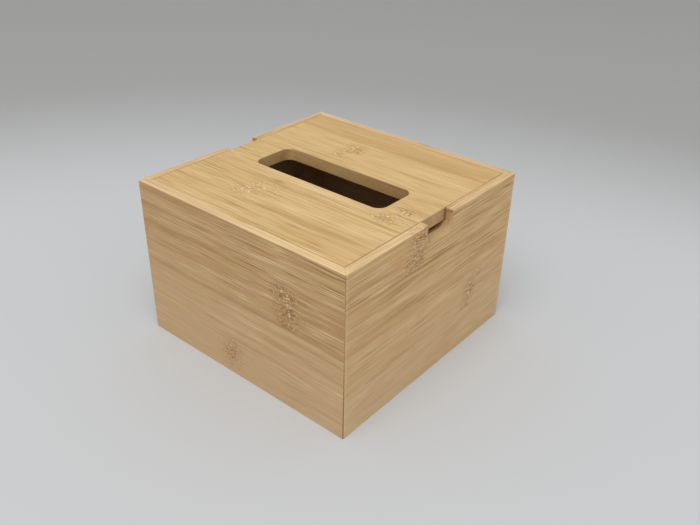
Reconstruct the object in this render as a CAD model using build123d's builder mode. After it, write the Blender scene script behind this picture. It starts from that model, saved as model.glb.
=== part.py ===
from build123d import *
import os

# Square bamboo tissue box: four mitred walls round a grooved-in base, and a lid with a
# dispensing slot that drops flush into a rebate and is lifted at two finger notches.
# Millimetres. Origin at the bottom centre, +Z up, the slot along X, the notches in the X walls.

# Outside of the box, and its sanded edges
WIDTH = 130.0
DEPTH = 130.0
HEIGHT = 85.0
WALL = 6.5
EDGE_ROUND = 0.4

# Lid, and the rebate that it lies in
LID_THICKNESS = 6.5
LID_GAP = 0.3
REBATE_WIDTH = 2.3

# Dispensing slot
SLOT_LENGTH = 81.0
SLOT_WIDTH = 25.0
SLOT_RADIUS = 5.0

# Finger notches, deeper than the lid is thick so that a fingertip hooks under it, with sanded edges
NOTCH_WIDTH = 18.0
NOTCH_DEPTH = 9.0
NOTCH_RADIUS = 4.0
NOTCH_ROUND = 1.2

# Base panel, and the groove that holds it
BASE_THICKNESS = 4.0
BASE_RAISE = 3.0
GROOVE_DEPTH = 3.0
GROOVE_CLEARANCE = 0.15

# Worked out from the sizes above: how far each hollow stands inside the outer faces, both sides
inside_inset = 2 * WALL
rebate_inset = 2 * (WALL - REBATE_WIDTH)
lid_inset = rebate_inset + 2 * LID_GAP
groove_inset = 2 * (WALL - GROOVE_DEPTH)
base_inset = groove_inset + 2 * GROOVE_CLEARANCE
lid_bottom = HEIGHT - LID_THICKNESS


# Each square hollow inside the walls: its inset, its bottom and its height
hollows = (
    (inside_inset, 0, HEIGHT),
    (rebate_inset, lid_bottom, LID_THICKNESS),
    (groove_inset, BASE_RAISE, BASE_THICKNESS + GROOVE_CLEARANCE),
)

# The four walls as they stand glued up, before they are parted at their mitres
with BuildPart() as carcase:
    Box(WIDTH, DEPTH, HEIGHT, align=(Align.CENTER, Align.CENTER, Align.MIN))
    fillet(carcase.edges(), EDGE_ROUND)
    for inset, bottom, height in hollows:
        with BuildSketch(Plane.XY.offset(bottom)):
            Rectangle(WIDTH - inset, DEPTH - inset)
        extrude(amount=height, mode=Mode.SUBTRACT)
    with BuildSketch(Plane.YZ):
        with Locations((0, HEIGHT)):
            RectangleRounded(NOTCH_WIDTH, 2 * NOTCH_DEPTH, NOTCH_RADIUS)
    extrude(amount=WIDTH, both=True, mode=Mode.SUBTRACT)
    for outer_face in (carcase.faces().sort_by(Axis.X)[0], carcase.faces().sort_by(Axis.X)[-1]):
        middle_edges = outer_face.edges().filter_by_position(Axis.Y, -NOTCH_WIDTH / 2, NOTCH_WIDTH / 2)
        notch_edges = middle_edges.sort_by(Axis.Z)[1:]
        fillet(notch_edges, NOTCH_ROUND)


def make_wall(run, reach, turn):
    """The wall of one side: run is the side's length, reach its distance from the middle."""
    with BuildPart() as wall:
        add(carcase.part)
        with BuildSketch(Plane.XY.rotated((0, 0, turn))):
            with Locations((0, -reach - WALL)):
                Trapezoid(run + 2 * WALL, 3 * WALL, 45, align=(Align.CENTER, Align.MIN))
        extrude(amount=2 * HEIGHT, both=True, mode=Mode.INTERSECT)
    return wall


walls = {
    "front_wall": make_wall(WIDTH, DEPTH / 2, 0),
    "right_wall": make_wall(DEPTH, WIDTH / 2, 90),
    "rear_wall": make_wall(WIDTH, DEPTH / 2, 180),
    "left_wall": make_wall(DEPTH, WIDTH / 2, 270),
}

with BuildPart() as base_panel:
    with BuildSketch(Plane.XY.offset(BASE_RAISE)):
        Rectangle(WIDTH - base_inset, DEPTH - base_inset)
    extrude(amount=BASE_THICKNESS)

with BuildPart() as lid:
    with BuildSketch(Plane.XY.offset(lid_bottom)):
        RectangleRounded(WIDTH - lid_inset, DEPTH - lid_inset, EDGE_ROUND)
        RectangleRounded(SLOT_LENGTH, SLOT_WIDTH, SLOT_RADIUS, mode=Mode.SUBTRACT)
    extrude(amount=LID_THICKNESS)
    fillet(lid.faces().filter_by(Axis.Z).edges(), EDGE_ROUND)

os.makedirs("parts", exist_ok=True)
for name, wall in walls.items():
    wall.part.label = name
    export_step(wall.part, f"parts/{name}.step")
base_panel.part.label = "base_panel"
export_step(base_panel.part, "parts/base_panel.step")
lid.part.label = "lid"
export_step(lid.part, "parts/lid.step")
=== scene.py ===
import bpy
import math
from collections import namedtuple
from mathutils import Matrix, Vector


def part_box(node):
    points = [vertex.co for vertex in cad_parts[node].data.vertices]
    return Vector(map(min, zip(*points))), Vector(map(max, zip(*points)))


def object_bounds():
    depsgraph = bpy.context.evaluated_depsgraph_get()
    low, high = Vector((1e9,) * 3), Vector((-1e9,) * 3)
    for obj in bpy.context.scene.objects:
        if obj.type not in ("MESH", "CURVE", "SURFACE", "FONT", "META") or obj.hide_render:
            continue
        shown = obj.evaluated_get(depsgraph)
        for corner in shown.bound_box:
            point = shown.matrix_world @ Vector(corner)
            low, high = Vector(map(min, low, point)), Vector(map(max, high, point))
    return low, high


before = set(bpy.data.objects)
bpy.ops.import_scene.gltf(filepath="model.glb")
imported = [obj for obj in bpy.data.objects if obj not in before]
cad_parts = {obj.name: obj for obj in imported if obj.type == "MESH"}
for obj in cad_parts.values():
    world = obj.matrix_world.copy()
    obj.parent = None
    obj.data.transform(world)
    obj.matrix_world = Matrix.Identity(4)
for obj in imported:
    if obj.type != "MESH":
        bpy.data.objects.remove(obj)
cad_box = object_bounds()

# Bamboo tissue box. Each CAD node keeps its shape and gets a solid texture of its own board: flat strips
# glued side by side, with fibres along the grain, knots where the cane had its joints, and end grain.
# Metres in the scene, millimetres in the boards' own coordinates. Sizes that no node's box gives are those
# of the part's source.
MM = 1000.0
high_corner = cad_box[1]
HALF_WIDTH = high_corner.x * MM
HALF_DEPTH = high_corner.y * MM
HEIGHT = high_corner.z * MM
BASE_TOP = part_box("base_panel")[1].z * MM
LID_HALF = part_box("lid")[1].x * MM
LID_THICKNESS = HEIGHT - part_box("lid")[0].z * MM
WALL = HALF_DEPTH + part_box("front_wall")[1].y * MM
LID_GAP = 0.3
RIM_WIDTH = HALF_WIDTH - LID_HALF - LID_GAP
NOTCH_HALF = 9.0
NOTCH_DEPTH = 9.0
SLOT_HALF_LENGTH = 40.5
SLOT_HALF_WIDTH = 12.5

# The walls by the way they run, along X or along Y; those along Y have the finger notches
X_WALLS = ("front", "rear")
Y_WALLS = ("left", "right")


def srgb(red, green, blue):
    """A colour written as screen values from 0 to 255, for a shader's socket, by the usual sRGB curve."""
    levels = [value / 255 for value in (red, green, blue)]
    linear = [x / 12.92 if x <= 0.04045 else ((x + 0.055) / 1.055) ** 2.4 for x in levels]
    return (*linear, 1.0)


# Colours of the cane. The front wall's cane is darker and the right wall's paler: partly their own tone,
# partly painted shade and light that even out the lamp, which lights the front more than the right
FRONT_CANE_SHADED = srgb(196, 159, 112)
RIGHT_CANE_LIT = srgb(216, 174, 117)
WALL_CANE = srgb(203, 165, 116)
LID_CANE = srgb(212, 177, 117)
FOOT_CANE = srgb(206, 177, 140)
DARK_CANE = srgb(166, 121, 68)
PALE_CANE = srgb(234, 205, 156)
PINK_CANE = srgb(203, 157, 114)
OLIVE_CANE = srgb(196, 165, 102)
HAIR_BROWN = srgb(146, 101, 51)
WALL_KNOT = srgb(138, 86, 32)
LID_KNOT = srgb(154, 99, 12)
WALL_STAIN = srgb(148, 95, 35)
LID_STAIN = srgb(156, 116, 36)
# Brown of the glue lines, also painted as shade in the gaps by the lid and in the notches
GLUE_AND_SHADE_BROWN = srgb(100, 66, 34)
# Raw cane of the inside, greyed and darkened partly as painted shade
RAW_AND_SHADE_BROWN = srgb(176, 156, 138)
# Brown of the walls' end grain, also painted as shade on a notch's floor
END_GRAIN_AND_SHADE_BROWN = srgb(180, 148, 105)
LID_END_BROWN = srgb(162, 121, 110)
SLOT_BROWN = srgb(172, 130, 86)
# Pale of knot flecks and glints, also used for painted highlights along arrises and beside the mitres
FLECK_AND_HIGHLIGHT_PALE = srgb(242, 217, 172)
SAWN_EDGE = srgb(230, 199, 149)

# A mark is a soft streak along the grain: its middle, half length and half width in millimetres, and its
# strength, which darkens above zero and lightens below.
Mark = namedtuple("Mark", "along across length width strength")

# A knot keeps to its strip: its middle, half length along the grain, half height across it, lean, and how
# strong its brown stain and its pale flecks are.
Knot = namedtuple("Knot", "along across reach tall lean stain fleck")

# A board: which one it is, the glued joints between its strips, the tone of each strip and how clearly its
# fibres show, knots and marks. Across is the depth below the rim on a wall, and Y on the lid and the base.
Board = namedtuple("Board", "kind seed joints tones clear knots marks")

BOARDS = {
    "front_wall": Board(
        kind="front",
        seed=1,
        joints=(19.5, 41.7, 63.5),
        tones=(0.44, 0.43, 0.49, 0.49),
        clear=(1.02, 1.00, 0.68, 0.55),
        knots=(
            Knot(31.5, 24.5, 11.0, 7.0, 0.0, 1.00, 0.8),
            Knot(32.5, 32.0, 10.0, 8.0, 0.1, 1.05, 0.7),
            Knot(31.5, 39.0, 8.0, 5.5, 0.2, 0.75, 0.4),
            Knot(-6.0, 73.0, 10.0, 12.0, -0.1, 0.75, 0.6),
        ),
        marks=(
            Mark(0, 0.6, 90, 0.8, 0.30),
            Mark(-40, 2.6, 34, 2.2, 0.28),
            Mark(2, 2.1, 34, 2.4, 0.25),
            Mark(48, 5.2, 24, 1.1, 0.24),
            Mark(-22, 10.0, 16, 1.2, 0.22),
            Mark(34, 11.7, 26, 1.2, 0.26),
            Mark(-4, 14.0, 16, 1.6, 0.14),
            Mark(10, 16.8, 18, 1.1, 0.40),
            Mark(-46, 20.3, 24, 4.6, 0.24),
            Mark(-20, 19.0, 22, 1.7, 0.30),
            Mark(48, 19.3, 28, 1.4, 0.26),
            Mark(-36, 29.2, 22, 1.6, 0.16),
            Mark(-48, 41.6, 24, 3.4, 0.22),
            Mark(10, 41.3, 100, 1.7, 0.30),
            Mark(40, 46.7, 34, 1.2, 0.15),
            Mark(34, 52.8, 44, 1.8, 0.18),
            Mark(-24, 58.7, 28, 2.0, 0.13),
            Mark(26, 63.5, 56, 2.0, 0.18),
            Mark(58, 77.0, 16, 1.6, 0.13),
            Mark(68, 22.0, 16, 24.0, 0.16),
            Mark(-30, 8.5, 42, 2.4, -0.24),
            Mark(46, 6.6, 34, 1.6, -0.19),
            Mark(-20, 12.0, 50, 2.2, -0.18),
            Mark(26, 10.4, 20, 2.2, -0.22),
            Mark(-42, 16.7, 30, 2.2, -0.18),
            Mark(26, 15.3, 24, 2.2, -0.20),
            Mark(52, 16.7, 20, 1.3, -0.20),
            Mark(-42, 24.6, 34, 3.6, -0.20),
            Mark(42, 43.1, 36, 1.6, -0.18),
            Mark(40, 49.9, 40, 2.0, -0.26),
            Mark(-4, 55.6, 54, 3.2, -0.14),
            Mark(56, 78.6, 18, 1.6, -0.16),
        ),
    ),
    "right_wall": Board(
        kind="right",
        seed=2,
        joints=(19.9, 41.3, 63.2),
        # The right wall's strips run paler than the front's, partly as painted light for the lamp that
        # lights it less
        tones=(0.53, 0.51, 0.55, 0.63),
        clear=(1.20, 0.95, 0.72, 0.58),
        knots=(
            Knot(-15.0, 4.5, 11.0, 8.5, -0.15, 0.80, 0.8),
            Knot(-18.0, 14.0, 10.5, 8.5, -0.30, 0.82, 0.8),
            Knot(32.5, 52.5, 7.5, 14.0, -0.30, 0.80, 1.0),
        ),
        marks=(
            Mark(48, 3.4, 20, 1.6, 0.17),
            Mark(-46, 5.4, 34, 1.2, 0.18),
            Mark(48, 9.6, 20, 1.6, 0.20),
            Mark(-52, 11.5, 20, 1.2, 0.18),
            Mark(40, 12.8, 12, 1.2, 0.14),
            Mark(-34, 16.6, 18, 0.9, 0.32),
            Mark(-6, 19.9, 100, 1.2, 0.36),
            Mark(40, 22.4, 12, 1.6, 0.16),
            Mark(48, 32.4, 22, 2.4, 0.18),
            Mark(-40, 33.3, 28, 1.1, 0.18),
            Mark(32, 35.7, 22, 1.7, 0.16),
            Mark(-30, 36.1, 36, 1.4, 0.28),
            Mark(-48, 40.9, 22, 1.4, 0.24),
            Mark(20, 41.0, 30, 3.0, 0.15),
            Mark(-40, 49.8, 12, 1.5, 0.17),
            Mark(-40, 62.7, 14, 2.0, 0.22),
            Mark(-48, 6.9, 22, 1.4, -0.18),
            Mark(-40, 10.4, 12, 2.2, -0.18),
            Mark(48, 11.3, 20, 1.4, -0.20),
            Mark(48, 14.3, 22, 1.4, -0.17),
            Mark(-48, 15.1, 24, 2.8, -0.26),
            Mark(42, 18.4, 32, 2.4, -0.18),
            Mark(14, 21.5, 30, 1.2, -0.26),
            Mark(0, 30.7, 70, 3.4, -0.20),
            Mark(40, 37.8, 12, 1.8, -0.18),
            Mark(6, 45.8, 16, 2.0, -0.22),
            Mark(-56, 45.7, 12, 1.6, -0.16),
            Mark(-40, 52.1, 14, 4.0, -0.16),
        ),
    ),
    "rear_wall": Board(
        kind="rear",
        seed=3,
        joints=(14.5, 36.4, 58.0, 79.8),
        tones=(0.52, 0.46, 0.50, 0.44, 0.52),
        clear=(0.7, 0.9, 0.6, 0.8, 0.5),
        knots=(
            Knot(-28.0, 25.0, 8.0, 12.0, 0.15, 0.8, 0.5),
            Knot(21.0, 69.0, 7.5, 12.0, -0.10, 0.7, 0.4),
        ),
        marks=(
            Mark(10, 14.5, 80, 0.40, 0.50),
            Mark(-30, 36.4, 60, 0.35, 0.40),
            Mark(35, 47.0, 30, 1.8, 0.38),
            Mark(-5, 58.0, 80, 0.35, 0.45),
            Mark(20, 8.0, 35, 0.7, 0.28),
            Mark(-40, 52.0, 25, 0.8, -0.30),
        ),
    ),
    "left_wall": Board(
        kind="left",
        seed=4,
        joints=(21.3, 43.0, 64.6),
        tones=(0.46, 0.53, 0.48, 0.52),
        clear=(0.9, 0.6, 0.8, 0.5),
        knots=(
            Knot(38.0, 32.0, 8.0, 12.0, -0.12, 0.8, 0.5),
            Knot(-34.0, 54.0, 7.5, 12.0, 0.20, 0.6, 0.4),
        ),
        marks=(
            Mark(0, 21.3, 90, 0.45, 0.55),
            Mark(-25, 43.0, 50, 0.40, 0.45),
            Mark(20, 64.6, 70, 0.35, 0.35),
            Mark(-42, 10.0, 26, 1.8, 0.38),
            Mark(30, 47.5, 28, 0.8, -0.30),
            Mark(10, 76.0, 45, 0.7, 0.28),
        ),
    ),
    "lid": Board(
        kind="lid",
        seed=5,
        joints=(-45.3, -24.1, -1.9, 20.2, 42.3),
        tones=(0.46, 0.53, 0.53, 0.50, 0.52, 0.40),
        clear=(0.90, 0.90, 0.95, 0.80, 0.55, 0.35),
        knots=(
            Knot(-12.5, 33.2, 8.0, 9.0, -0.1, 1.15, 1.2),
            Knot(-15.5, 24.0, 6.0, 5.0, 0.0, 0.70, 0.8),
            Knot(50.5, -7.5, 7.0, 5.5, -0.1, 0.90, 1.4),
            Knot(47.2, -17.2, 8.5, 7.0, 0.0, 0.80, 1.4),
            Knot(-19.0, -35.0, 12.0, 12.0, 0.20, 0.28, 1.0),
            Knot(-8.5, -29.5, 7.5, 6.5, 0.0, 0.30, 0.9),
        ),
        marks=(
            Mark(0, -58.4, 50, 0.9, 0.28),
            Mark(-26, -53.4, 50, 1.9, 0.22),
            Mark(30, -53.2, 40, 3.4, 0.14),
            Mark(-48, -45.3, 26, 4.4, 0.20),
            Mark(-8, -45.3, 20, 2.2, 0.24),
            Mark(22, -44.4, 34, 3.6, 0.36),
            Mark(44, -43.2, 24, 3.4, 0.26),
            Mark(54, -38.2, 12, 1.8, 0.16),
            Mark(54, -28.2, 12, 1.5, 0.16),
            Mark(24, -26.1, 13, 1.1, 0.32),
            Mark(0, -23.6, 40, 4.0, 0.18),
            Mark(-14, -21.5, 6, 1.6, 0.40),
            Mark(44, -24.0, 34, 1.6, 0.40),
            Mark(-56, -22.8, 14, 3.0, 0.15),
            Mark(54, -3.6, 12, 3.0, 0.20),
            Mark(54, 3.5, 12, 1.2, 0.14),
            Mark(54, 9.7, 12, 4.4, 0.22),
            Mark(28, 26.4, 34, 1.9, 0.20),
            Mark(24, 43.0, 40, 6.0, 0.16),
            Mark(-6, -56.8, 50, 2.6, -0.20),
            Mark(8, -47.0, 40, 3.2, -0.22),
            Mark(16, -37.8, 26, 4.0, -0.28),
            Mark(48, -35.5, 24, 5.0, -0.20),
            Mark(16, -32.2, 24, 1.7, -0.22),
            Mark(52, -53.0, 18, 8.0, -0.18),
            Mark(54, -30.0, 12, 1.8, -0.20),
            Mark(24, -28.0, 34, 1.5, -0.20),
            Mark(12, -21.2, 34, 1.7, -0.30),
            Mark(6, -15.6, 52, 4.6, -0.50),
            Mark(54, 12.1, 12, 3.6, -0.28),
            Mark(34, 28.5, 36, 1.5, -0.16),
            Mark(24, 39.0, 50, 4.0, -0.16),
            Mark(20, 55.6, 40, 3.6, -0.16),
        ),
    ),
    "base_panel": Board(
        kind="base",
        seed=6,
        joints=(-47.0, -25.2, -3.4, 18.6, 40.3),
        tones=(0.48, 0.53, 0.46, 0.52, 0.47, 0.52),
        clear=(1.0, 0.7, 1.1, 0.8, 1.0, 0.7),
        knots=(
            Knot(22.0, 7.5, 8.0, 12.0, 0.10, 0.7, 0.4),
            Knot(-36.0, -36.0, 8.0, 12.0, -0.15, 0.7, 0.4),
        ),
        marks=(
            Mark(0, -25.2, 90, 0.40, 0.45),
            Mark(-15, 18.6, 60, 0.40, 0.40),
            Mark(30, -47.0, 50, 0.35, 0.40),
            Mark(-30, 30.0, 28, 1.8, 0.32),
        ),
    ),
}

# A noise drawn out along the grain: how long, wide and deep its features are in millimetres, how many finer
# layers it has and how rough they are, and a shift that keeps it apart from the other noises.
Grain = namedtuple("Grain", "length width depth layers roughness shift", defaults=(0.5, 0.0))
NOISE_MIDDLE = 0.5


class Field:
    """A value that varies over a surface. Plain arithmetic on it adds math nodes to its shader."""

    def __init__(self, shader, socket):
        self.shader = shader
        self.socket = socket

    def __add__(self, other):
        return self.shader.math("ADD", self, other)

    def __radd__(self, other):
        return self.shader.math("ADD", other, self)

    def __sub__(self, other):
        return self.shader.math("SUBTRACT", self, other)

    def __rsub__(self, other):
        return self.shader.math("SUBTRACT", other, self)

    def __mul__(self, other):
        return self.shader.math("MULTIPLY", self, other)

    def __truediv__(self, other):
        return self.shader.math("DIVIDE", self, other)

    def __abs__(self):
        return self.shader.math("ABSOLUTE", self)


class Shader:
    """A material's node tree, with one short call for each kind of node that the boards use."""

    def __init__(self, name):
        self.material = bpy.data.materials.new(name)
        self.material.use_nodes = True
        self.tree = self.material.node_tree
        self.surface = self.tree.nodes["Principled BSDF"].inputs

    def feed(self, socket, value):
        """Links a field to a socket, or sets a plain value there."""
        if isinstance(value, Field):
            self.tree.links.new(value.socket, socket)
        else:
            socket.default_value = value

    def node(self, kind, inputs, output=0, **settings):
        """Adds a node with its settings and inputs, and gives one of its outputs."""
        made = self.tree.nodes.new(kind)
        for setting, value in settings.items():
            setattr(made, setting, value)
        for key, value in inputs.items():
            self.feed(made.inputs[key], value)
        return Field(self, made.outputs[output])

    def coordinate(self, name):
        return self.node("ShaderNodeTexCoord", {}, name)

    def math(self, operation, *values):
        return self.node("ShaderNodeMath", dict(enumerate(values)), operation=operation)

    def vector_math(self, operation, *values, output=0):
        return self.node("ShaderNodeVectorMath", dict(enumerate(values)), output, operation=operation)

    def vector(self, x, y, z=0.0):
        return self.node("ShaderNodeCombineXYZ", {0: x, 1: y, 2: z})

    def axis(self, vector, name):
        return self.node("ShaderNodeSeparateXYZ", {0: vector}, name)

    def rise(self, value, start, end, low=0.0, high=1.0):
        """Goes smoothly from low to high as the value goes from start to end."""
        inputs = {"Value": value, "From Min": start, "From Max": end, "To Min": low, "To Max": high}
        return self.node("ShaderNodeMapRange", inputs, interpolation_type="SMOOTHSTEP")

    def fall(self, value, start, end, high=1.0):
        """Goes smoothly from high to zero as the value goes from start to end."""
        return self.rise(value, start, end, high, 0.0)

    def noise(self, place, layers, roughness=0.5):
        inputs = {"Vector": place, "Scale": 1.0, "Detail": layers, "Roughness": roughness}
        return self.node("ShaderNodeTexNoise", inputs)

    def grain(self, kind, along, across, inward, shift=0.0, deep_shift=0.0):
        """Noise from zero to one with features of the kind's size, shifted along the grain or inward."""
        x = along / kind.length + (kind.shift + shift)
        y = across / kind.width
        z = inward / kind.depth + deep_shift
        return self.noise(self.vector(x, y, z), kind.layers, kind.roughness)

    def mix(self, share, first, second):
        return self.node("ShaderNodeMix", {0: share, 6: first, 7: second}, 2, data_type="RGBA")

    def ramp(self, value, stops, interpolation="LINEAR"):
        """A colour ramp through (position, colour) stops."""
        made = self.tree.nodes.new("ShaderNodeValToRGB")
        band = made.color_ramp
        band.interpolation = interpolation
        while len(band.elements) < len(stops):
            band.elements.new(1.0)
        for element, (position, colour) in zip(band.elements, stops):
            element.position = position
            element.color = colour
        self.feed(made.inputs[0], value)
        return Field(self, made.outputs[0])


# A point on a board: millimetres along the grain, across the strips and in from the shown face, and how far
# the surface there faces along the grain and across the strips.
Place = namedtuple("Place", "along across inward end_face edge_face")


def board_place(shader, kind):
    """Where a point lies on its board."""
    position = shader.coordinate("Object")
    normal = shader.coordinate("Normal")
    x, y, z = (shader.axis(position, name) * MM for name in "XYZ")
    facing_x, facing_y, facing_z = (abs(shader.axis(normal, name)) for name in "XYZ")
    if kind in X_WALLS:
        return Place(x, HEIGHT - z, HALF_DEPTH - abs(y), facing_x, facing_z)
    if kind in Y_WALLS:
        return Place(y, HEIGHT - z, HALF_WIDTH - abs(x), facing_y, facing_z)
    top = HEIGHT if kind == "lid" else BASE_TOP
    return Place(x, y, top - z, facing_x, facing_y)


# Widest reach of a board across its strips, and how far the noise moves on from strip to strip and by board
SPAN = 200.0
STRIP_SHIFT = 1900.0
BOARD_SHIFT = 173.0

# On the front wall the fibres show more towards the right
FRONT_RUN = (-50.0, 45.0)
FRONT_CLEAR = (0.65, 1.15)


def strip_fields(shader, board, place):
    """The tone of a point's strip, how clearly its fibres show, and a shift that makes them its own."""
    share = (place.across + SPAN / 2) / SPAN
    starts = [0.0] + [(joint + SPAN / 2) / SPAN for joint in board.joints]
    steps = [index / len(starts) for index in range(len(starts))]
    fields = []
    for values in (board.tones, board.clear, steps):
        stops = [(at, (value, value, value, 1.0)) for at, value in zip(starts, values)]
        fields.append(shader.ramp(share, stops, "CONSTANT"))
    tone, clear, step = fields
    if board.kind == "front":
        clear = clear * shader.rise(place.along, *FRONT_RUN, *FRONT_CLEAR)
    return tone, clear, step * STRIP_SHIFT


# Outline of a knot: the noises that bend and fray it and how far they do, where it fades out, and how far
# inside and outside its strip's joints it stops
KNOT_BEND = Grain(9.0, 6.0, 8.0, 2.0)
KNOT_FRAY = Grain(2.5, 2.0, 3.0, 1.0)
BEND_REACH = 8.0
FRAY_REACH = 0.7
KNOT_FADE = (0.1, 1.15)
INSIDE_JOINT = 1.2
OUTSIDE_JOINT = 0.3


def knot_fields(shader, board, place, seed):
    """How strong the stain and the flecks of a knot are. A knot frays out and keeps to its strip."""
    along, across, inward = place.along, place.across, place.inward
    bend = shader.grain(KNOT_BEND, along, across, inward, deep_shift=seed) - NOISE_MIDDLE
    fray = shader.grain(KNOT_FRAY, along, across, inward, deep_shift=seed) - NOISE_MIDDLE
    limits = (-SPAN, *board.joints, SPAN)
    stain = 0.0
    fleck = 0.0
    for knot in board.knots:
        low = max(limit for limit in limits if limit < knot.across)
        high = min(limit for limit in limits if limit > knot.across)
        inside = shader.rise(across, low - OUTSIDE_JOINT, low + INSIDE_JOINT)
        inside = inside * shader.fall(across, high - INSIDE_JOINT, high + OUTSIDE_JOINT)
        offset = along + bend * BEND_REACH - knot.along - (across - knot.across) * knot.lean
        away = shader.vector(offset / knot.reach, (across - knot.across) / knot.tall)
        distance = shader.vector_math("LENGTH", away, output="Value") + fray * FRAY_REACH
        body = shader.fall(distance, *KNOT_FADE) * inside
        stain = shader.math("MAXIMUM", body * knot.stain, stain)
        fleck = shader.math("MAXIMUM", body * knot.fleck, fleck)
    return stain, fleck


# The fibres at a point, from broad bands of tone down to single hairs, pores and pale glints
Fibres = namedtuple("Fibres", "line broad streak thread hair pale_hair pore glint")

# Noises that move the fibres' lines and make patches where they show more
WAVE = Grain(90.0, 25.0, 25.0, 1.0)
SWIRL = Grain(4.5, 3.0, 4.0, 1.0)
PATCH = Grain(30.0, 3.5, 5.0, 1.0, shift=11.0)
WAVE_REACH = 0.9
SWIRL_REACH = 3.0
PATCH_BAND = (0.36, 0.64)
PATCH_CLEAR = (0.50, 1.40)

# Noises of the fibres themselves, and the levels between which hairs, pores and glints come in
BROAD = Grain(110.0, 7.0, 9.0, 2.0)
STREAK = Grain(55.0, 1.3, 1.8, 3.0, roughness=0.6)
LONG_THREAD = Grain(55.0, 0.45, 0.45, 2.0)
FINE_THREAD = Grain(20.0, 0.34, 0.34, 1.0, shift=17.0)
HAIR = Grain(52.0, 0.60, 0.70, 1.0, shift=31.0)
PORE = Grain(18.0, 0.45, 0.45, 0.0, shift=57.0)
GLINT = Grain(15.0, 0.48, 0.55, 0.0, shift=83.0)
FINE_THREAD_SHARE = 0.9
HAIR_BAND = (0.58, 0.68)
PALE_HAIR_BAND = (0.32, 0.42)
PORE_BAND = (0.58, 0.70)
GLINT_BAND = (0.60, 0.72)


def fibre_fields(shader, place, run, knot, clear):
    """Fibres run straight along a strip, swirl where they pass a knot, and show more in some patches."""

    def grain(kind, across):
        return shader.grain(kind, run, across, place.inward)

    wave = grain(WAVE, place.across) - NOISE_MIDDLE
    swirl = grain(SWIRL, place.across) - NOISE_MIDDLE
    line = place.across + wave * WAVE_REACH + swirl * knot * SWIRL_REACH
    clear = clear * shader.rise(grain(PATCH, line), *PATCH_BAND, *PATCH_CLEAR)
    broad = grain(BROAD, line) - NOISE_MIDDLE
    streak = (grain(STREAK, line) - NOISE_MIDDLE) * clear
    long_thread = grain(LONG_THREAD, line) - NOISE_MIDDLE
    fine_thread = grain(FINE_THREAD, line) - NOISE_MIDDLE
    thread = (long_thread + fine_thread * FINE_THREAD_SHARE) * clear
    hairs = grain(HAIR, line)
    hair = shader.rise(hairs, *HAIR_BAND) * clear
    pale_hair = shader.fall(hairs, *PALE_HAIR_BAND) * clear
    pore = shader.rise(grain(PORE, line), *PORE_BAND) * clear
    glint = shader.rise(grain(GLINT, line), *GLINT_BAND) * clear
    return Fibres(line, broad, streak, thread, hair, pale_hair, pore, glint)


# Clear cane: its middle colour by board, the front's and the right's partly painted shade and light, the
# tones that are darkest and palest, and the walls' greyer foot
MIDDLE_CANE = {"front": FRONT_CANE_SHADED, "right": RIGHT_CANE_LIT, "lid": LID_CANE}
DARK_TONE = 0.10
MIDDLE_TONE = 0.50
PALE_TONE = 0.90
FOOT_START = 10.0
FOOT_SHARE = 0.55

# Patches that are a little pinker or greener
HUE = Grain(30.0, 8.0, 10.0, 1.0)
PINK_BAND = (0.50, 0.70)
PINK_SHARE = 0.40
LID_PINK_SHARE = 0.20
OLIVE_BAND = (0.30, 0.50)
OLIVE_SHARE = 0.35

# How much each kind of fibre tells in the colour
BROAD_SHARE = 0.45
STREAK_SHARE = 0.30
THREAD_SHARE = 1.15
HAIR_SHARE = 0.42
PALE_HAIR_SHARE = 0.32
PORE_SHARE = 0.24
GLINT_SHARE = 0.22


def body_colour(shader, board, place, run, tone, fibres):
    """Clear cane in its strip's tone, with its fibres and patches that are a little pinker or greener."""
    level = tone + fibres.broad * BROAD_SHARE
    level = level + fibres.streak * STREAK_SHARE + fibres.thread * THREAD_SHARE
    middle = MIDDLE_CANE.get(board.kind, WALL_CANE)
    stops = ((DARK_TONE, DARK_CANE), (MIDDLE_TONE, middle), (PALE_TONE, PALE_CANE))
    colour = shader.ramp(level, stops)
    if board.kind in X_WALLS + Y_WALLS:
        foot = shader.rise(place.across, FOOT_START, HEIGHT, 0.0, FOOT_SHARE)
        colour = shader.mix(foot, colour, FOOT_CANE)
    hue = shader.grain(HUE, run, fibres.line, place.inward)
    pink_share = LID_PINK_SHARE if board.kind == "lid" else PINK_SHARE
    colour = shader.mix(shader.rise(hue, *PINK_BAND) * pink_share, colour, PINK_CANE)
    colour = shader.mix(shader.fall(hue, *OLIVE_BAND) * OLIVE_SHARE, colour, OLIVE_CANE)
    colour = shader.mix(fibres.hair * HAIR_SHARE, colour, HAIR_BROWN)
    colour = shader.mix(fibres.pale_hair * PALE_HAIR_SHARE, colour, PALE_CANE)
    colour = shader.mix(fibres.pore * PORE_SHARE, colour, HAIR_BROWN)
    return shader.mix(fibres.glint * GLINT_SHARE, colour, FLECK_AND_HIGHLIGHT_PALE)


# Marks: where one fades out, how the fibres break it up, and the most that marks together change the cane
MARK_FADE = (0.1, 1.0)
MARK_STREAK = 1.6
MARK_THREAD = 1.5
PALEST_MARK = 0.8
DARKEST_MARK = 0.9


def mark_field(shader, marks, spot):
    """Soft streaks along the grain, added up."""
    total = 0.0
    for mark in marks:
        away = shader.vector_math("SUBTRACT", spot, (mark.along, mark.across, 0.0))
        away = shader.vector_math("DIVIDE", away, (mark.length, mark.width, 1.0))
        distance = shader.vector_math("LENGTH", away, output="Value")
        total = shader.fall(distance, *MARK_FADE, abs(mark.strength)) + total
    return total


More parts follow.
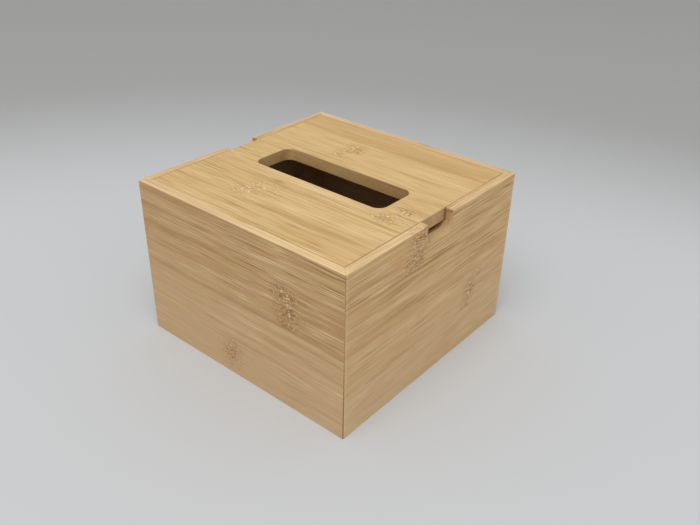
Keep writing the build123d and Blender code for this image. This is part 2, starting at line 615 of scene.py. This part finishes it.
def mark_colour(shader, board, place, fibres, colour):
    """Pale streaks first, then stains and joint lines."""
    spot = shader.vector(place.along, place.across)
    uneven = fibres.streak * MARK_STREAK + fibres.thread * MARK_THREAD + 1.0
    pale = [mark for mark in board.marks if mark.strength < 0]
    dark = [mark for mark in board.marks if mark.strength > 0]
    brown = LID_STAIN if board.kind == "lid" else WALL_STAIN
    for marks, most, tint in ((pale, PALEST_MARK, PALE_CANE), (dark, DARKEST_MARK, brown)):
        if marks:
            amount = mark_field(shader, marks, spot) * uneven
            colour = shader.mix(shader.math("MINIMUM", amount, most), colour, tint)
    return colour


# Inside of a knot: the noises of its clusters, curls, blotches and flecks, the levels where they come in,
# and how much each tells
KNOT_CLUSTER = Grain(6.0, 5.0, 6.0, 1.0)
KNOT_CURL = Grain(3.0, 2.0, 2.6, 2.0)
KNOT_BLOTCH = Grain(2.3, 1.5, 2.0, 2.0, roughness=0.6)
KNOT_FLECK = Grain(1.7, 1.0, 1.3, 1.0)
CLUSTER_BAND = (0.30, 0.54)
CURL_BAND = (0.012, 0.06)
BLOTCH_BAND = (0.50, 0.64)
FLECK_BAND = (0.55, 0.67)
CURL_SHARE = 0.46
BLOTCH_SHARE = 0.42
BLUSH_SHARE = 0.26
DARKEST_KNOT = 0.8
FLECK_SHARE = 0.90


def knot_colour(shader, board, place, fibres, stain, fleck, seed, colour):
    """A brown blush, dark curls and blotches in clusters, and pale flecks. Gives the relief too."""
    along, inward, line = place.along, place.inward, fibres.line
    clusters = shader.grain(KNOT_CLUSTER, along, place.across, inward, deep_shift=seed)
    cluster = shader.rise(clusters, *CLUSTER_BAND)
    curls = shader.grain(KNOT_CURL, along, line, inward, shift=seed)
    curl = shader.fall(abs(curls - NOISE_MIDDLE), *CURL_BAND)
    blotches = shader.grain(KNOT_BLOTCH, along, line, inward, shift=seed)
    blotch = shader.rise(blotches, *BLOTCH_BAND)
    dark = stain * (cluster * (curl * CURL_SHARE + blotch * BLOTCH_SHARE) + BLUSH_SHARE)
    brown = LID_KNOT if board.kind == "lid" else WALL_KNOT
    colour = shader.mix(shader.math("MINIMUM", dark, DARKEST_KNOT), colour, brown)
    flecks = shader.grain(KNOT_FLECK, along, line + seed, inward)
    colour = shader.mix(fleck * shader.rise(flecks, *FLECK_BAND) * FLECK_SHARE, colour, FLECK_AND_HIGHLIGHT_PALE)
    return colour, (stain + fleck) * (blotches - NOISE_MIDDLE)


# A wall's sawn rim: the run over which its paleness goes from one share to another, and how much its dark
# lines show
Rim = namedtuple("Rim", "start end first_pale last_pale lines")
PLAIN_RIM = Rim(-20.0, 20.0, 0.36, 0.36, 0.05)
RIMS = {
    "front": Rim(-20.0, 60.0, 0.62, 1.10, 0.12),
    "right": Rim(-20.0, 20.0, 0.85, 0.48, 0.40),
    "rear": PLAIN_RIM,
    "left": PLAIN_RIM,
}
RIM_FADE = (0.6, 1.4)
SAWN_FACING = (0.55, 0.9)
RIM_THREAD = 2.2
RIM_STREAK = 1.8
RIM_LINE_BAND = (0.0, 0.14)
# A painted highlight along the rim's rounded outer arris
ARRIS_HIGHLIGHT_FADE = (0.1, 0.9)
ARRIS_HIGHLIGHT_SHARE = 0.35


def rim_colour(shader, board, place, fibres, colour):
    """A paler sawn rim with its own lines, and a painted highlight along the rounded arris at its outer
    edge.
    """
    rim = RIMS[board.kind]
    sawn = shader.rise(place.edge_face, *SAWN_FACING) * shader.fall(place.across, *RIM_FADE)
    pale = shader.rise(place.along, rim.start, rim.end, rim.first_pale, rim.last_pale)
    pale = fibres.thread * RIM_THREAD + fibres.streak * RIM_STREAK + pale
    colour = shader.mix(sawn * pale, colour, SAWN_EDGE)
    lines = sawn * shader.rise(fibres.thread, *RIM_LINE_BAND) * rim.lines
    colour = shader.mix(lines, colour, HAIR_BROWN)
    arris_highlight = shader.fall(place.across, *ARRIS_HIGHLIGHT_FADE) * shader.fall(place.inward, *ARRIS_HIGHLIGHT_FADE)
    return shader.mix(arris_highlight * ARRIS_HIGHLIGHT_SHARE, colour, FLECK_AND_HIGHLIGHT_PALE)


# End grain of the walls, and painted shade on the floor of a finger notch
END_FACING = (0.15, 0.5)
END_THREAD = 1.6
END_SHARE = 0.70
NOTCH_SIDE = (NOTCH_HALF - 1.0, NOTCH_HALF + 0.5)
NOTCH_FACING = (0.3, 0.75)
NOTCH_BELOW = (2.0, 4.0)
NOTCH_SHADE_SHARE = 0.60

# A darker line along the rear upper edge of a notch
DARK_ARRIS_START = (NOTCH_HALF - 0.3, NOTCH_HALF - 0.1)
DARK_ARRIS_END = (NOTCH_HALF + 0.3, NOTCH_HALF + 0.9)
DARK_ARRIS_BELOW = (1.0, 1.8)
DARK_ARRIS_SHARE = 0.75

# A painted shadow line in a notch where it meets the lid, wider on its sides than on its floor
SHADE_INWARD = (RIM_WIDTH - 1.6, RIM_WIDTH - 0.4)
SHADE_FLOOR_STEP = 1.4
SHADE_SIDE = (NOTCH_HALF + 0.05, NOTCH_HALF + 0.3)
SHADE_BELOW = (NOTCH_DEPTH + 0.1, NOTCH_DEPTH + 0.5)
SHADE_SHARE = 0.55


def notch_colour(shader, board, place, fibres, colour):
    """Browner end grain, and in a notched wall painted shade on the notch's floor, a darker line at its
    rear upper edge and a painted shadow line by the lid.
    """
    end_grain = shader.rise(place.end_face, *END_FACING) * (fibres.thread * END_THREAD + END_SHARE)
    colour = shader.mix(end_grain, colour, END_GRAIN_AND_SHADE_BROWN)
    if board.kind not in Y_WALLS:
        return colour
    along, depth = place.along, place.across
    # Painted shade on the floor of the notch
    notch_floor_shade = shader.fall(abs(along), *NOTCH_SIDE) * shader.rise(place.edge_face, *NOTCH_FACING)
    notch_floor_shade = notch_floor_shade * shader.rise(depth, *NOTCH_BELOW)
    colour = shader.mix(notch_floor_shade * NOTCH_SHADE_SHARE, colour, END_GRAIN_AND_SHADE_BROWN)
    dark_arris = shader.rise(along, *DARK_ARRIS_START) * shader.fall(depth, *DARK_ARRIS_BELOW, DARK_ARRIS_SHARE)
    dark_arris = dark_arris * shader.fall(along, *DARK_ARRIS_END)
    colour = shader.mix(dark_arris, colour, HAIR_BROWN)
    shade = shader.rise(place.inward - place.edge_face * SHADE_FLOOR_STEP, *SHADE_INWARD)
    shade = shade * shader.fall(abs(along), *SHADE_SIDE) * shader.fall(depth, *SHADE_BELOW)
    return shader.mix(shade * SHADE_SHARE, colour, GLUE_AND_SHADE_BROWN)


# Inside of the box, left raw, its colour greyed and darkened partly as painted shade for the dim inside
RAW_AND_SHADE_SHARE = 0.55
WALL_RAW = (WALL - 0.9, WALL - 0.1)
LID_RAW = (LID_THICKNESS - 0.5, LID_THICKNESS - 0.05)

# The line between the lid and the rim: pale where they lie tight, painted shade where a gap opens
TIGHT_RUN = (-30.0, 10.0)
TIGHT_SHARE = 0.6
WALL_TIGHT = {
    "front": (TIGHT_SHARE, 0.0),
    "right": (0.0, 0.0),
    "rear": (TIGHT_SHARE, TIGHT_SHARE),
    "left": (TIGHT_SHARE, TIGHT_SHARE),
}
GAP_SHADE_RUN = (-30.0, 40.0)
WALL_GAP_SHADE = {
    "front": (0.0, 0.18),
    "right": (0.20, 0.20),
    "rear": (0.0, 0.0),
    "left": (0.0, 0.0),
}
REBATE_INWARD = (RIM_WIDTH - 0.35, RIM_WIDTH - 0.05)
REBATE_BELOW = (LID_THICKNESS, LID_THICKNESS + 0.2)


def inside_colour(shader, board, place, colour):
    """A raw inside toned partly as painted shade, a pale line on the rebate's side next to the lid where it
    lies tight, and a painted shadow line there where a gap opens.
    """
    colour = shader.mix(shader.rise(place.inward, *WALL_RAW) * RAW_AND_SHADE_SHARE, colour, RAW_AND_SHADE_BROWN)
    rebate = shader.rise(place.inward, *REBATE_INWARD) * shader.fall(place.across, *REBATE_BELOW)
    tight = shader.rise(place.along, *TIGHT_RUN, *WALL_TIGHT[board.kind])
    colour = shader.mix(rebate * tight, colour, FLECK_AND_HIGHLIGHT_PALE)
    gap_shade = shader.rise(place.along, *GAP_SHADE_RUN, *WALL_GAP_SHADE[board.kind])
    return shader.mix(rebate * gap_shade, colour, GLUE_AND_SHADE_BROWN)


# The mitres: a glue line that is stronger towards the foot, and a painted highlight band beside it on the
# walls along Y
GLUE_WIDTH = (0.05, 0.55)
GLUE_START = 25.0
GLUE_TOP_SHARE = 0.18
GLUE_FOOT_SHARE = 0.85
GLUE_STREAK = 0.5
GLUE_RIM = (0.3, 1.2)
GLUE_RIM_SHARE = 0.4
GLUE_INSIDE = (WALL - 1.5, WALL - 0.5)
HIGHLIGHT_BAND_START = (0.3, 1.0)
HIGHLIGHT_BAND_END = (0.9, 2.4)
HIGHLIGHT_BAND_SHARE = 0.18


def mitre_colour(shader, board, place, fibres, colour):
    """The glue line where two walls meet, and the painted highlight band beside it."""
    half_run = HALF_WIDTH if board.kind in X_WALLS else HALF_DEPTH
    to_mitre = half_run - abs(place.along) - place.inward
    if board.kind in Y_WALLS:
        # The band is a painted highlight on the rounded corner beside the mitre
        band = shader.rise(to_mitre, *HIGHLIGHT_BAND_START) * shader.fall(to_mitre, *HIGHLIGHT_BAND_END, HIGHLIGHT_BAND_SHARE)
        colour = shader.mix(band, colour, FLECK_AND_HIGHLIGHT_PALE)
    strength = shader.rise(place.across, GLUE_START, HEIGHT, GLUE_TOP_SHARE, GLUE_FOOT_SHARE)
    strength = strength + fibres.streak * GLUE_STREAK
    strength = strength * shader.rise(place.across, *GLUE_RIM, GLUE_RIM_SHARE)
    strength = strength * shader.fall(place.inward, *GLUE_INSIDE)
    return shader.mix(shader.fall(to_mitre, *GLUE_WIDTH) * strength, colour, GLUE_AND_SHADE_BROWN)


def wall_edges(shader, board, place, fibres, colour):
    """All that saw, lid and glue leave at the edges of a wall."""
    colour = rim_colour(shader, board, place, fibres, colour)
    colour = notch_colour(shader, board, place, fibres, colour)
    colour = inside_colour(shader, board, place, colour)
    return mitre_colour(shader, board, place, fibres, colour)


# Sawn edges of the lid: how far the slot's surroundings reach, how brown the end grain and the long edges
# are at the lid's outside, and how much more in the slot, where the end grain's extra brown towards the
# rear is painted shade
SLOT_NEAR = 1.0
SLOT_FAR = 4.0
SLOT_ALONG = (SLOT_HALF_LENGTH + SLOT_NEAR, SLOT_HALF_LENGTH + SLOT_FAR)
SLOT_ACROSS = (SLOT_HALF_WIDTH + SLOT_NEAR, SLOT_HALF_WIDTH + SLOT_FAR)
LID_END_SHARE = 0.30
SLOT_END_SHADE = 0.35
LONG_FACING = (0.45, 0.8)
LONG_EDGE_THREAD = 1.2
LID_LONG_SHARE = 0.34
SLOT_LONG_RUN = (-15.0, 25.0)
SLOT_LONG_MORE = 0.30


def lid_sawn_colour(shader, place, fibres, colour):
    """Browner end grain and long edges, with painted shade at the slot's rear corners, and a raw underside
    toned partly as painted shade.
    """
    along, across = place.along, place.across
    in_slot = shader.fall(abs(along), *SLOT_ALONG) * shader.fall(abs(across), *SLOT_ACROSS)
    end_brown = shader.mix(in_slot, LID_END_BROWN, SLOT_BROWN)
    # The slot's end grain grows browner towards its rear corners as painted shade
    end_share = in_slot * shader.rise(across, 0.0, SLOT_HALF_WIDTH, 0.0, SLOT_END_SHADE) + LID_END_SHARE
    end_grain = shader.rise(place.end_face, *SAWN_FACING) * (fibres.thread * END_THREAD + end_share)
    colour = shader.mix(end_grain, colour, end_brown)
    long_share = in_slot * shader.rise(along, *SLOT_LONG_RUN, 0.0, SLOT_LONG_MORE) + LID_LONG_SHARE
    long_share = fibres.thread * LONG_EDGE_THREAD + long_share
    long_edge = shader.rise(place.edge_face, *LONG_FACING) * long_share
    colour = shader.mix(long_edge, colour, SLOT_BROWN)
    return shader.mix(shader.rise(place.inward, *LID_RAW) * RAW_AND_SHADE_SHARE, colour, RAW_AND_SHADE_BROWN)


# The line between the lid and the rim, on the lid: pale where tight, painted shade where a gap opens
TIGHT_WIDTH = (0.0, 0.4)
GAP_SHADE_WIDTH = (0.05, 0.40)
GAP_SHADE_BELOW = (0.5, 1.5)
END_GAP_SHADE_SHARE = 0.20
SIDE_GAP_SHADE_SHARE = 0.16
BESIDE_NOTCH = (NOTCH_HALF - 1.0, NOTCH_HALF + 1.0)


def lid_line_colour(shader, place, colour):
    """A pale line where the lid lies tight at the rim, and a painted shadow line where a gap opens."""
    along, across = place.along, place.across
    to_front = LID_HALF + across
    tight_left = shader.fall(LID_HALF + along, *TIGHT_WIDTH, TIGHT_SHARE)
    tight_rear = shader.fall(LID_HALF - across, *TIGHT_WIDTH, TIGHT_SHARE)
    tight_front = shader.fall(to_front, *TIGHT_WIDTH) * shader.fall(along, *TIGHT_RUN, TIGHT_SHARE)
    tight = shader.math("MAXIMUM", shader.math("MAXIMUM", tight_left, tight_rear), tight_front)
    colour = shader.mix(tight, colour, FLECK_AND_HIGHLIGHT_PALE)
    end_gap_shade = shader.fall(LID_HALF - along, *GAP_SHADE_WIDTH, END_GAP_SHADE_SHARE)
    end_gap_shade = end_gap_shade * shader.rise(abs(across), *BESIDE_NOTCH)
    side_gap_shade = shader.fall(to_front, *GAP_SHADE_WIDTH) * shader.rise(along, *GAP_SHADE_RUN, 0.0, SIDE_GAP_SHADE_SHARE)
    gap_shade = shader.math("MAXIMUM", end_gap_shade, side_gap_shade) * shader.fall(place.inward, *GAP_SHADE_BELOW)
    return shader.mix(gap_shade, colour, GLUE_AND_SHADE_BROWN)


# The cane's polish, and how much fibres and knots stand out, with the depth of the relief in metres
ROUGHNESS = 0.50
STREAK_ROUGHNESS = 0.25
PORE_ROUGHNESS = 0.10
CANE_SPECULAR = 0.3
THREAD_RELIEF = 0.6
PORE_RELIEF = 0.5
HAIR_RELIEF = 0.4
KNOT_RELIEF = 1.1
RELIEF_DEPTH = 0.00012
RELIEF_STRENGTH = 0.35


def bamboo(name, board):
    """The material of one board, from its strips, knots and marks."""
    shader = Shader(name)
    seed = BOARD_SHIFT * board.seed
    place = board_place(shader, board.kind)
    tone, clear, shift = strip_fields(shader, board, place)
    run = place.along + shift + seed
    stain, fleck = knot_fields(shader, board, place, seed)
    fibres = fibre_fields(shader, place, run, stain + fleck, clear)
    colour = body_colour(shader, board, place, run, tone, fibres)
    colour = mark_colour(shader, board, place, fibres, colour)
    if board.kind == "lid":
        colour = lid_sawn_colour(shader, place, fibres, colour)
        colour = lid_line_colour(shader, place, colour)
    elif board.kind == "base":
        # The base is left raw, its colour toned partly as painted shade for the dim inside
        colour = shader.mix(RAW_AND_SHADE_SHARE, colour, RAW_AND_SHADE_BROWN)
    else:
        colour = wall_edges(shader, board, place, fibres, colour)
    colour, knot_relief = knot_colour(shader, board, place, fibres, stain, fleck, seed, colour)

    shader.feed(shader.surface["Base Color"], colour)
    roughness = fibres.streak * STREAK_ROUGHNESS + fibres.pore * PORE_ROUGHNESS + ROUGHNESS
    shader.feed(shader.surface["Roughness"], roughness)
    shader.feed(shader.surface["Specular IOR Level"], CANE_SPECULAR)
    relief = fibres.thread * THREAD_RELIEF - fibres.pore * PORE_RELIEF - fibres.hair * HAIR_RELIEF
    relief = relief + knot_relief * KNOT_RELIEF
    bump = {"Height": relief, "Distance": RELIEF_DEPTH, "Strength": RELIEF_STRENGTH}
    shader.feed(shader.surface["Normal"], shader.node("ShaderNodeBump", bump))
    return shader.material


for node_name, board in BOARDS.items():
    node_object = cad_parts[node_name]
    node_object.data.materials.clear()
    node_object.data.materials.append(bamboo(node_name + "_bamboo", board))


# A pale paper floor with painted shade that darkens it behind the box, sooner to the right and at both
# sides, standing in for the light falling off
FLOOR_SIZE = 8.0
NEAR_FLOOR = srgb(201, 203, 205)
FAR_FLOOR_SHADE = srgb(167, 168, 166)
FLOOR_FADE = (0.11, 0.43)
FLOOR_SKEW = 0.12
FLOOR_BOW = 0.9
FLOOR_ROUGHNESS = 0.7
FLOOR_SPECULAR = 0.2
PAPER_FINENESS = 900.0
PAPER_LAYERS = 2.0
PAPER_SHARE = 0.04
CAMERA_TURN = 39.48


def make_floor():
    shader = Shader("floor_paper")
    place = shader.coordinate("Object")
    turn = math.radians(CAMERA_TURN)
    forward = (-math.sin(turn), math.cos(turn), 0.0)
    rightward = (math.cos(turn), math.sin(turn), 0.0)
    ahead = shader.vector_math("DOT_PRODUCT", place, forward, output="Value")
    aside = shader.vector_math("DOT_PRODUCT", place, rightward, output="Value")
    away = ahead + aside * FLOOR_SKEW + aside * aside * FLOOR_BOW
    fine_place = shader.vector_math("MULTIPLY", place, (PAPER_FINENESS, PAPER_FINENESS, PAPER_FINENESS))
    paper = shader.noise(fine_place, PAPER_LAYERS) - NOISE_MIDDLE
    shade_and_paper = shader.rise(away, *FLOOR_FADE) + paper * PAPER_SHARE
    shader.feed(shader.surface["Base Color"], shader.mix(shade_and_paper, NEAR_FLOOR, FAR_FLOOR_SHADE))
    shader.feed(shader.surface["Roughness"], FLOOR_ROUGHNESS)
    shader.feed(shader.surface["Specular IOR Level"], FLOOR_SPECULAR)
    bpy.ops.mesh.primitive_plane_add(size=FLOOR_SIZE)
    floor = bpy.context.object
    floor.name = "floor"
    floor.data.materials.append(shader.material)


make_floor()

# Soft studio light: an even sky and one large lamp high on the camera's side
SKY_COLOUR = (1.0, 1.0, 1.0, 1.0)
SKY_LEVEL = 0.60
LAMP_DISTANCE = 1.8
LAMP_SIZE = 1.5
LAMP_POWER = 17.0
LAMP_TURN = 28.0
LAMP_RISE = 63.7

# The tilt from looking straight down, as lamps and cameras do at first, to looking level
LEVEL_TILT = 90.0

scene = bpy.context.scene
world = bpy.data.worlds.new("studio")
world.use_nodes = True
sky = world.node_tree.nodes["Background"].inputs
sky["Color"].default_value = SKY_COLOUR
sky["Strength"].default_value = SKY_LEVEL
scene.world = world

lamp_data = bpy.data.lights.new("softbox", "AREA")
lamp_data.shape = "DISK"
lamp_data.size = LAMP_SIZE
lamp_data.energy = LAMP_POWER
lamp = bpy.data.objects.new("softbox", lamp_data)
lamp_turned = Matrix.Rotation(math.radians(LAMP_TURN), 4, "Z")
lamp_tilted = Matrix.Rotation(math.radians(LEVEL_TILT - LAMP_RISE), 4, "X")
lamp.matrix_world = lamp_turned @ lamp_tilted @ Matrix.Translation((0.0, 0.0, LAMP_DISTANCE))
scene.collection.objects.link(lamp)

# Camera at the photograph's viewing angle
CAMERA_PLACE = (0.22352, -0.25515, 0.23860)
CAMERA_DROP = 30.83
CAMERA_ROLL = 1.235
CAMERA_LENS = 39.10
SENSOR_WIDTH = 36.0
NEAREST_SHOWN = 0.01

camera_data = bpy.data.cameras.new("camera")
camera_data.lens = CAMERA_LENS
camera_data.sensor_width = SENSOR_WIDTH
camera_data.clip_start = NEAREST_SHOWN
camera = bpy.data.objects.new("camera", camera_data)
turned = Matrix.Rotation(math.radians(CAMERA_TURN), 4, "Z")
tilted = Matrix.Rotation(math.radians(LEVEL_TILT - CAMERA_DROP), 4, "X")
rolled = Matrix.Rotation(math.radians(CAMERA_ROLL), 4, "Z")
camera.matrix_world = Matrix.Translation(CAMERA_PLACE) @ turned @ tilted @ rolled
scene.collection.objects.link(camera)
scene.camera = camera
scene.view_settings.view_transform = "Standard"
